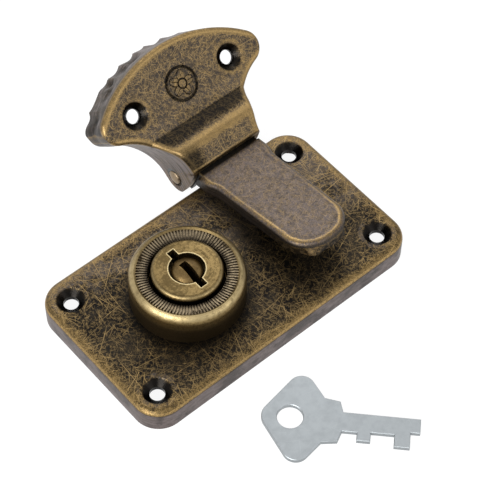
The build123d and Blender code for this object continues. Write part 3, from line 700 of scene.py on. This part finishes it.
def brass_finish(colours):
    """Satin brass of the lock cylinder, stained in its hollows, with painted highlights on its
    shoulder and edges, painted shade on the collar's far side, and dark brown oxide with a
    painted dark reflection down its wall.
    """
    f = Finish("cylinder_brass_satin")
    place = f.place(cylinder_centre * (1.0, 1.0, 0.0))
    x, y, z = f.split(place)
    radius = f.away(x, y)
    clouds = f.noise(place, scale=0.30, detail=4.0, roughness=0.6, distortion=0.3)
    mottle = f.noise(place, scale=1.5, detail=5.0, roughness=0.7)
    grain = f.noise(place, scale=5.0, detail=2.0, roughness=0.7)
    along = f.joined(radius * 3.0, z * 3.0, f.math("ARCTAN2", y, x) * 0.35)
    turned = f.noise(along, scale=1.6, detail=3.0, roughness=0.6)
    face = f.band(z, 13.3, 13.65)
    # Painted shade on the collar's far side, which also dims the rim's brightness there.
    far = f.band(x * 0.65 + y * 0.76, 2.0, 10.0) * f.band(radius, 9.2, 9.8)
    stain = f.band(clouds * 0.5 + mottle * 0.5 + (turned - 0.5) * 0.25 + far * 0.3, 0.42, 0.66)
    speck = f.band(grain * 0.6 + mottle * 0.4, 0.48, 0.60)
    knurl = f.band(radius, 9.95, 9.6) * f.band(radius, 7.4, 7.75) * f.band(z, 12.1, 12.3)
    rough_tooth = f.noise(place, scale=2.6, detail=3.0, roughness=0.7) - 0.5
    rough_tooth = rough_tooth * f.band(x * 0.8 - y * 0.4, -3.0, 7.0, 0.35, 1.1)
    valley = f.band(z + (grain - 0.5) * 0.25 + rough_tooth, 12.74, 12.46) * knurl
    inner = f.band(radius + rough_tooth, 8.5, 7.7) * knurl
    gap = f.band(radius, 7.7, 7.5) * f.band(z, 13.1, 12.6) * f.band(radius, 6.6, 6.9)
    eye = f.band(radius, 3.7, 3.5) * f.band(radius, 2.9, 3.15) * f.band(z, 13.78, 13.6)
    # Down the collar's wall: dark brown oxide with a painted dark reflection of the plate.
    low = f.band(z + (turned - 0.5) * 1.5, 11.0, 8.8) * f.band(radius, 10.8, 11.3)
    shoulder = f.band(abs(radius - SHOULDER_RADIUS), 1.0, 0.3) * f.band(z, 11.6, 12.4)
    lip = f.band(abs(radius - DISC_LIP_RADIUS), 0.35, 0.05) * f.band(z, 13.0, 13.5)
    round_eye = f.band(abs(radius - EYE_RADIUS), 0.16, 0.06)
    slot = f.band(abs(abs(x) - 0.87), 0.15, 0.06) * f.band(radius, 3.5, 3.6)
    slot = slot * f.band(radius, 5.3, 5.2)
    keyway = f.band(abs(abs(y) - 5.2), 0.15, 0.06) * f.band(abs(x), 0.95, 0.85)
    trimmed = f.clamped(round_eye + slot + keyway) * face
    # Bright brass on the shoulder, the disc's lip and the outlines of the eye and keyway: partly rubbed
    # brass, partly painted highlight.
    bright = f.clamped(shoulder * 0.55 * (1.0 - far * 0.8) + lip * 0.2)
    bright = bright * (1.0 - stain * 0.6) + trimmed * 0.75
    tone = f.clamped(stain * 0.7 + speck * 0.45 + face * f.band(x - y, 4.0, -5.0, 0.30, 0.56))
    colour = f.mix(tone, colours.cylinder_brass, colours.cylinder_stain)
    colour = f.mix(bright, colour, colours.brass_edge_and_highlight)
    colour = f.mix(f.band(radius, 3.3, 3.1) * 0.45, colour, colours.plug_brown)
    colour = f.mix(knurl * 0.85, colour, colours.knurl_grey)
    colour = f.mix(f.clamped(valley * 0.60 + inner * 0.38), colour, colours.knurl_dark)
    colour = f.mix(low * 0.88, colour, colours.wall_brown_and_reflection)
    colour = f.mix(f.clamped(gap + eye * 0.9), colour, colours.gap_black)
    rough = 0.30 + stain * 0.12 + grain * 0.10 + low * 0.12
    normal = f.bump(mottle * 0.5 + grain * 0.35 + turned * 0.3 - speck * 0.2, 0.4, 0.04)
    return f.done(colour, rough, 1.0, normal)


def steel_finish(name, colour, base_rough):
    """Plated steel with a faint grain along the sheet and a few fine lines."""
    f = Finish(name)
    place = f.place()
    x, y, z = f.split(place)
    mottle = f.noise(place, scale=0.6, detail=4.0, roughness=0.6)
    stretched = f.joined(x * 0.3, y * 6.0, z * 6.0)
    grain = f.noise(stretched, scale=1.0, detail=3.0, roughness=0.6)
    lines = f.strokes(f.joined(x, y), cell=5.0, width=0.06, reach=3.0, seed=4.4, bend=0.05)
    tone = f.mix(f.band(mottle, 0.35, 0.75) * 0.35, colour, tuple(c * 0.72 for c in colour))
    tone = f.mix(lines * 0.3, tone, tuple(min(1.0, c * 1.25) for c in colour))
    rough = base_rough + (mottle - 0.5) * 0.15 + grain * 0.06
    normal = f.bump(grain * 0.4 + mottle * 0.6 - lines * 0.4, 0.25, 0.02)
    return f.done(tone, rough, 1.0, normal)


def smooth_step(value, start, end):
    """A smooth step from 0 at start to 1 at end."""
    share = np.clip((value - start) / (end - start), 0.0, 1.0)
    return share * share * (3.0 - 2.0 * share)


def grid_planes(centre, directions, steps):
    """Cutting planes across each direction, at steps in millimetres from a centre."""
    cuts = [(centre + np.array(along) * step, along) for along in directions for step in steps]
    return [(Vector(point) / MM, Vector(along)) for point, along in cuts]


def reshaped(node_name, piece_name, planes, move):
    """A new piece that stands for a CAD node: a welded copy of its mesh, cut along planes so
    that it can bend, with its vertices moved by a function of their places in millimetres."""
    node = frame["nodes"][node_name]
    mesh = node.data.copy()
    mesh.name = piece_name
    mesh.transform(node.matrix_world)
    shape = bmesh.new()
    shape.from_mesh(mesh)
    bmesh.ops.remove_doubles(shape, verts=shape.verts, dist=WELD)
    for point, normal in planes:
        parts = [*shape.verts, *shape.edges, *shape.faces]
        bmesh.ops.bisect_plane(shape, geom=parts, plane_co=point, plane_no=normal, dist=WELD)
    bmesh.ops.triangulate(shape, faces=shape.faces)
    shape.to_mesh(mesh)
    shape.free()
    spots = np.empty(3 * len(mesh.vertices))
    mesh.vertices.foreach_get("co", spots)
    moved = move(spots.reshape(-1, 3) * MM) / MM
    mesh.vertices.foreach_set("co", moved.ravel())
    mesh.shade_smooth()
    mesh.set_sharp_from_angle(angle=SHARP_ANGLE)
    mesh.update()
    piece = bpy.data.objects.new(piece_name, mesh)
    bpy.context.scene.collection.objects.link(piece)
    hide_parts(node_name)
    return piece


def tilted_axes(tilt):
    """Rows: the directions across a tilted piece, up it and out of its face."""
    cos, sin = math.cos(tilt), math.sin(tilt)
    return np.array([[1.0, 0.0, 0.0], [0.0, cos, sin], [0.0, -sin, cos]])


def rippled_leaf(sizes):
    """The leaf with its drawn skirt rippled round the arch. Each ripple is a hollow between
    two bounds, deepest at the skirt's foot, whose depth and width come from seeded random
    numbers; the foot rises where the skirt is hollow, and a few dents lie over the ripples.
    The hood's crest swells by a bell curve across it."""
    axes = tilted_axes(sizes.leaf_tilt)
    centre = hinge_centre
    middle = np.array([0.0, ARCH_T, 0.0])
    folds, dent_count = 15, 16
    chance = np.random.default_rng(LEAF_SEED)
    bounds = np.cumsum(chance.uniform(0.5, 1.6, folds + 1))
    bounds = np.radians(-60.0 + 120.0 * (bounds - bounds[0]) / (bounds[-1] - bounds[0]))
    depths = chance.uniform(0.25, 1.0, folds)
    leans = chance.uniform(0.6, 1.7, folds)
    # The ranges of a dent's turn in degrees, level, width in degrees, height and depth.
    spans = ((-55.0, 55.0), (-2.5, 2.0), (2.0, 4.5), (0.8, 1.8), (0.2, 0.9))
    dents = np.column_stack([chance.uniform(low, high, dent_count) for low, high in spans])
    levels = [(centre + axes[2] * n, axes[2]) for n in np.arange(4.0, -3.6, -0.8)]
    pivot = centre + axes.T @ middle
    turns = [
        (pivot, axes[0] * math.cos(angle) - axes[1] * math.sin(angle))
        for angle in np.radians(np.arange(-58.0, 58.5, 1.0))
    ]
    crest = [(centre + axes[1] * t, axes[1]) for t in np.arange(3.4, 9.3, 0.35)]
    planes = [(Vector(point / MM), Vector(normal)) for point, normal in levels + turns + crest]

    def move(spots):
        own = (spots - centre) @ axes.T - middle
        swell = np.exp(-(((own[:, 1] + middle[1] - 6.5) / 1.3) ** 2))
        own[:, 2] += sizes.crest_swell * swell * smooth_step(own[:, 2], 4.0, 7.5)
        angle = np.arctan2(own[:, 0], own[:, 1])
        away = np.hypot(own[:, 0], own[:, 1])
        height = own[:, 2]
        fold = np.clip(np.searchsorted(bounds, angle) - 1, 0, folds - 1)
        share = (angle - bounds[fold]) / (bounds[fold + 1] - bounds[fold])
        share = np.clip(share, 0.0, 1.0) ** leans[fold]
        bowl = np.sin(math.pi * share) ** 0.9 * depths[fold]
        skirt = smooth_step(own[:, 1], 10.0, 17.0) * smooth_step(away, 18.0, 22.0)
        depth = bowl * smooth_step(height, 3.9, -1.5)
        for turn, level, wide, tall, deep in dents:
            turn, wide = np.radians(turn), np.radians(wide)
            off = ((angle - turn) / wide) ** 2 + ((height - level) / tall) ** 2
            depth += deep * np.exp(-off)
        depth *= 0.62 * sizes.ripple * skirt * smooth_step(height, 4.2, 3.0)
        lift = 0.7 * sizes.ripple * bowl * skirt * smooth_step(height, 0.5, -3.4)
        out = own[:, :2] / np.maximum(away, 1.0)[:, None]
        own[:, :2] -= out * depth[:, None]
        own[:, 2] += lift
        return (own + middle) @ axes + centre

    return reshaped("hasp_leaf", "leaf_rippled", planes, move)


def rippled_arm(sizes):
    """The arm with the skirt of its tip rippled. Two sines and a bell curve round the tip give
    how far the skirt leans out or in, more towards its foot, and the foot rises there."""
    axes = tilted_axes(-sizes.arm_tilt)
    centre = hinge_centre
    middle = np.array([0.0, -ARM_TIP_CENTRE, 0.0])
    levels = [(centre + axes[2] * m, axes[2]) for m in np.arange(4.4, 2.2, -0.45)]
    pivot = centre + axes.T @ middle
    turns = [
        (pivot, axes[0] * math.sin(angle) + axes[1] * math.cos(angle))
        for angle in np.radians(np.arange(-2.0, 183.0, 4.0))
    ]
    planes = [(Vector(point / MM), Vector(normal)) for point, normal in levels + turns]

    def move(spots):
        own = (spots - centre) @ axes.T - middle
        angle = np.arctan2(-own[:, 1], -own[:, 0])
        away = np.hypot(own[:, 0], own[:, 1])
        wave = 0.45 * np.sin(7.0 * angle + 0.8) + 0.35 * np.sin(12.0 * angle + 2.0)
        wave += 0.8 * np.exp(-(((angle - 0.95) / 0.28) ** 2))
        tip = smooth_step(-own[:, 1], -1.0, 2.5) * smooth_step(away, 3.0, 4.5)
        lean = 0.40 * sizes.ripple * wave * tip * smooth_step(own[:, 2], 4.3, 2.4)
        out = own[:, :2] / np.maximum(away, 1.0)[:, None]
        own[:, :2] += out * lean[:, None]
        own[:, 2] += 0.35 * np.abs(lean) * smooth_step(own[:, 2], 3.4, 2.1)
        return (own + middle) @ axes + centre

    return reshaped("hasp_arm", "arm_rippled", planes, move)


def domed_plug(sizes):
    """The plug with its face rounded further down, by the square of the distance from its
    axis."""
    rim = sizes.dome_drop
    across = ((1.0, 0.0, 0.0), (0.0, 1.0, 0.0))
    planes = grid_planes(cylinder_centre, across, np.arange(-3.0, 3.1, 0.3))
    planes.append((Vector((0.0, 0.0, 12.4)) / MM, Vector((0.0, 0.0, 1.0))))

    def move(spots):
        own = spots - cylinder_centre * (1.0, 1.0, 0.0)
        share = (own[:, 0] ** 2 + own[:, 1] ** 2) / PLUG_RADIUS**2
        face = smooth_step(own[:, 2], 12.5, 13.4)
        own[:, 2] -= rim * share * face
        return own + cylinder_centre * (1.0, 1.0, 0.0)

    return reshaped("key_plug", "plug_domed", planes, move)


def proud_pin(sizes):
    """The hinge pin with its ends drawn out to low domes, whose height over the rim falls with
    the square of the distance from the axis."""
    half = (pin_high[0] - pin_low[0]) / 2
    radius = (pin_high[2] - pin_low[2]) / 2
    across = ((0.0, 1.0, 0.0), (0.0, 0.0, 1.0))
    planes = grid_planes(hinge_centre, across, np.arange(-1.2, 1.3, 0.3))

    def move(spots):
        own = spots - hinge_centre
        share = (own[:, 1] ** 2 + own[:, 2] ** 2) / radius**2
        end = smooth_step(np.abs(own[:, 0]), half - 0.21, half - 0.01)
        own[:, 0] += np.sign(own[:, 0]) * sizes.pin_proud * end * (1.0 - 0.6 * share)
        return own + hinge_centre

    return reshaped("hinge_pin", "pin_proud", planes, move)


def rosette(sizes):
    """Five petals round a boss. The height over the ring's floor is a smooth step in from each
    petal's edge, whose radius follows the cosine of the angle, less a vein along the petal
    and a trough round the boss; a wall and a flat back close the surface."""
    radius, rise = sizes.rosette_radius, sizes.rosette_rise
    rings, spokes = 36, 240
    r = np.linspace(0.0, 1.0, rings)[1:, None]
    angle = np.linspace(0.0, 2 * math.pi, spokes, endpoint=False)[None, :]
    lobe = np.abs(np.cos(2.5 * angle))
    reach = 0.40 + 0.58 * lobe**0.8
    petal = smooth_step(reach - r, 0.0, 0.10) * (0.75 + 0.25 * smooth_step(r, 0.9, 0.4))
    vein = 0.45 * smooth_step(np.sqrt(1.0 - lobe**2) * r, 0.07, 0.0) * smooth_step(r, 0.3, 0.4)
    boss = smooth_step(r, 0.30, 0.20)
    trough = smooth_step(np.abs(r - 0.33), 0.07, 0.02)
    height = rise * np.maximum(np.maximum(petal - vein, 0.0) * (1.0 - trough), boss)
    floor, back = LEAF_FACE + 0.01, LEAF_FACE - 0.06
    x = radius * r * np.cos(angle)
    t = radius * r * np.sin(angle)
    top = np.stack([x, t + RING_T, floor + height], axis=2).reshape(-1, 3)
    under = np.stack([x[-1], t[-1] + RING_T, np.full(spokes, back)], axis=1)
    own = np.vstack([[[0.0, RING_T, floor + rise]], top, under])
    spots = (own @ tilted_axes(sizes.leaf_tilt) + hinge_centre) / MM
    column = np.arange(spokes)
    after = (column + 1) % spokes
    fan = np.stack([np.zeros(spokes, int), 1 + column, 1 + after], axis=1)
    start = 1 + spokes * np.arange(rings - 1)[:, None]
    quads = np.stack(
        [start + column, start + spokes + column, start + spokes + after, start + after], axis=2
    ).reshape(-1, 4)
    last = 1 + spokes * (rings - 1)
    mesh = bpy.data.meshes.new("rosette")
    faces = fan.tolist() + quads.tolist() + [(last + column[::-1]).tolist()]
    mesh.from_pydata(spots.tolist(), [], faces)
    mesh.shade_smooth()
    mesh.set_sharp_from_angle(angle=ROSETTE_SHARP_ANGLE)
    piece = bpy.data.objects.new("rosette", mesh)
    bpy.context.scene.collection.objects.link(piece)
    return piece


class HASPLOCK_OT_plate(bpy.types.Operator):
    """Gives the lock plate its worn bronze."""

    bl_idname = "hasplock.plate"
    bl_label = "Lock plate"

    def execute(self, context):
        scene = context.scene
        wear(plate_finish(scene.hasp_sizes, scene.hasp_colours), frame["nodes"]["lock_plate"])
        return {"FINISHED"}


class HASPLOCK_OT_cylinder(bpy.types.Operator):
    """Gives the collar, the barrel and the domed plug their satin brass."""

    bl_idname = "hasplock.cylinder"
    bl_label = "Lock cylinder"

    def execute(self, context):
        satin = brass_finish(context.scene.hasp_colours)
        wear(satin, frame["nodes"]["collar"])
        wear(satin, frame["nodes"]["barrel"])
        plug = domed_plug(context.scene.hasp_sizes)
        wear(satin, plug)
        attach(plug, "plug")
        return {"FINISHED"}


class HASPLOCK_OT_arm(bpy.types.Operator):
    """Builds the arm with its rippled tip, in worn bronze."""

    bl_idname = "hasplock.arm"
    bl_label = "Arm"

    def execute(self, context):
        sizes, colours = context.scene.hasp_sizes, context.scene.hasp_colours
        arm = rippled_arm(sizes)
        wear(arm_finish(sizes, colours), arm)
        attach(arm, "arm")
        return {"FINISHED"}


class HASPLOCK_OT_leaf(bpy.types.Operator):
    """Builds the rippled leaf, its rosette and the domed pin, in worn bronze."""

    bl_idname = "hasplock.leaf"
    bl_label = "Leaf"

    def execute(self, context):
        sizes, colours = context.scene.hasp_sizes, context.scene.hasp_colours
        leaf = rippled_leaf(sizes)
        wear(leaf_finish(sizes, colours), leaf)
        flower = rosette(sizes)
        wear(rosette_finish(sizes, colours), flower)
        pin = proud_pin(sizes)
        wear(pin_finish(colours), pin)
        for piece in (leaf, flower, pin):
            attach(piece, "leaf")
        return {"FINISHED"}


class HASPLOCK_OT_bolt_work(bpy.types.Operator):
    """Gives the bolt work and the staple their plated steel."""

    bl_idname = "hasplock.bolt_work"
    bl_label = "Bolt work"

    def execute(self, context):
        colours = context.scene.hasp_colours
        steel = steel_finish("lock_steel_plated", tuple(colours.steel), 0.38)
        for row in frame["record"]["subparts"]:
            if row["material_slot"] == "lock_steel":
                wear(steel, frame["nodes"][row["node"]])
        return {"FINISHED"}


class HASPLOCK_OT_key(bpy.types.Operator):
    """Gives the key its satin nickel."""

    bl_idname = "hasplock.key"
    bl_label = "Key"

    def execute(self, context):
        nickel = tuple(context.scene.hasp_colours.key_nickel)
        wear(steel_finish("key_nickel_satin", nickel, 0.42), frame["nodes"]["key"])
        return {"FINISHED"}


def area_lamp(name, spot, target, width, height, power):
    """A soft lamp at a spot, pointed at a target."""
    lamp = bpy.data.lights.new(name, "AREA")
    lamp.shape = "RECTANGLE"
    lamp.size = width
    lamp.size_y = height
    lamp.energy = power
    piece = bpy.data.objects.new(name, lamp)
    piece.location = spot
    piece.rotation_euler = (Vector(target) - Vector(spot)).to_track_quat("-Z", "Y").to_euler()
    bpy.context.scene.collection.objects.link(piece)


def background_rays(tree):
    """A socket that is 1 for the rays that see the background: camera, glossy, transmission."""
    path = tree.nodes.new("ShaderNodeLightPath")
    seen = path.outputs["Is Camera Ray"]
    for name in ("Is Glossy Ray", "Is Transmission Ray"):
        either = tree.nodes.new("ShaderNodeMath")
        either.operation = "MAXIMUM"
        tree.links.new(seen, either.inputs[0])
        tree.links.new(path.outputs[name], either.inputs[1])
        seen = either.outputs[0]
    return seen


class HASPLOCK_OT_stage(bpy.types.Operator):
    """Builds the floor, the soft lamps, the even world light and the camera."""

    bl_idname = "hasplock.stage"
    bl_label = "Stage"

    def execute(self, context):
        studio = context.scene.hasp_studio
        self.floor(studio)
        self.world(context.scene, studio)
        for name, (spot, target, width, height, share) in LAMPS.items():
            area_lamp(name, spot, target, width, height, studio.lamp_power * share)
        self.camera(context.scene, studio)
        context.scene.view_settings.view_transform = "Standard"
        return {"FINISHED"}

    def floor(self, studio):
        """A square floor under the plate, white to the camera but keeping the shadow."""
        half = studio.floor_width / 2
        mesh = bpy.data.meshes.new("studio_floor")
        square = ((-half, -half), (half, -half), (half, half), (-half, half))
        spots = [(x, y, FLOOR_DROP) for x, y in square]
        mesh.from_pydata(spots, [], [(0, 1, 2, 3)])
        floor = bpy.data.objects.new("studio_floor", mesh)
        bpy.context.scene.collection.objects.link(floor)
        f = Finish("studio_floor_white")
        f.put(f.surface.inputs["Base Color"], tuple(studio.floor_colour))
        f.surface.inputs["Roughness"].default_value = 0.9
        f.surface.inputs["Specular IOR Level"].default_value = 0.0
        white = {"Color": (1.0, 1.0, 1.0), "Strength": GLOW_STRENGTH}
        glow = f.node("ShaderNodeEmission", {}, white)
        shown = Value(f, f.surface.outputs[0])
        factor = Value(f, background_rays(f.tree)) * studio.floor_glow
        mixed = f.node("ShaderNodeMixShader", {}, {0: factor, 1: shown, 2: glow})
        f.put(f.tree.nodes["Material Output"].inputs["Surface"], mixed)
        mesh.materials.append(f.material)

    def world(self, scene, studio):
        """Even light from all round, and plain white to the camera and in the metal."""
        world = bpy.data.worlds.new("studio_world")
        world.use_nodes = True
        tree = world.node_tree
        tree.nodes.clear()
        output = tree.nodes.new("ShaderNodeOutputWorld")
        light = tree.nodes.new("ShaderNodeBackground")
        light.inputs["Strength"].default_value = studio.world_light
        white = tree.nodes.new("ShaderNodeBackground")
        blend = tree.nodes.new("ShaderNodeMixShader")
        white.inputs["Color"].default_value = (1.0, 1.0, 1.0, 1.0)
        light.inputs["Color"].default_value = (1.0, 1.0, 1.0, 1.0)
        tree.links.new(background_rays(tree), blend.inputs[0])
        tree.links.new(light.outputs[0], blend.inputs[1])
        tree.links.new(white.outputs[0], blend.inputs[2])
        tree.links.new(blend.outputs[0], output.inputs["Surface"])
        scene.world = world

    def camera(self, scene, studio):
        """The photograph's camera: a direction, a roll, a distance and a step aside."""
        turn, rise, roll = studio.azimuth, studio.elevation, studio.roll
        right = Vector((math.cos(turn), math.sin(turn), 0.0))
        away = Vector(
            (math.sin(turn) * math.cos(rise), -math.cos(turn) * math.cos(rise), math.sin(rise))
        )
        up = away.cross(right)
        rolled_right = right * math.cos(roll) + up * math.sin(roll)
        rolled_up = up * math.cos(roll) - right * math.sin(roll)
        lens = bpy.data.cameras.new("photo_camera")
        lens.sensor_width = SENSOR_WIDTH
        lens.lens = studio.focal_pixels / IMAGE_SIZE * SENSOR_WIDTH
        lens.clip_start = 0.01
        camera = bpy.data.objects.new("photo_camera", lens)
        spot = away * studio.distance + rolled_right * studio.aside + rolled_up * studio.above
        axes = Matrix((rolled_right, rolled_up, away)).transposed()
        camera.matrix_world = Matrix.Translation(spot / MM) @ axes.to_4x4()
        scene.collection.objects.link(camera)
        scene.camera = camera


class HASPLOCK_PT_looks(bpy.types.Panel):
    """The lock's looks, in the sidebar."""

    bl_label = "Hasp lock"
    bl_idname = "HASPLOCK_PT_looks"
    bl_space_type = "VIEW_3D"
    bl_region_type = "UI"
    bl_category = "Hasp lock"

    def draw(self, context):
        for operator in OPERATORS:
            self.layout.operator(operator.bl_idname)
        for name in GROUPS:
            group = getattr(context.scene, name)
            box = self.layout.box()
            for key in group.__annotations__:
                box.prop(group, key)


GROUPS = {"hasp_sizes": HaspSizes, "hasp_colours": HaspColours, "hasp_studio": HaspStudio}
OPERATORS = (
    HASPLOCK_OT_stage,
    HASPLOCK_OT_plate,
    HASPLOCK_OT_cylinder,
    HASPLOCK_OT_arm,
    HASPLOCK_OT_leaf,
    HASPLOCK_OT_bolt_work,
    HASPLOCK_OT_key,
)


def register():
    """Registers the property groups, the operators and the panel."""
    for name, group in GROUPS.items():
        bpy.utils.register_class(group)
        setattr(bpy.types.Scene, name, bpy.props.PointerProperty(type=group))
    for made in (*OPERATORS, HASPLOCK_PT_looks):
        bpy.utils.register_class(made)


def unregister():
    """Takes the classes away again."""
    for made in (HASPLOCK_PT_looks, *reversed(OPERATORS)):
        bpy.utils.unregister_class(made)
    for name, group in GROUPS.items():
        delattr(bpy.types.Scene, name)
        bpy.utils.unregister_class(group)


def main():
    """Builds everything."""
    register()
    for operator in OPERATORS:
        group, name = operator.bl_idname.split(".")
        getattr(getattr(bpy.ops, group), name)()


if __name__ == "__main__":
    main()
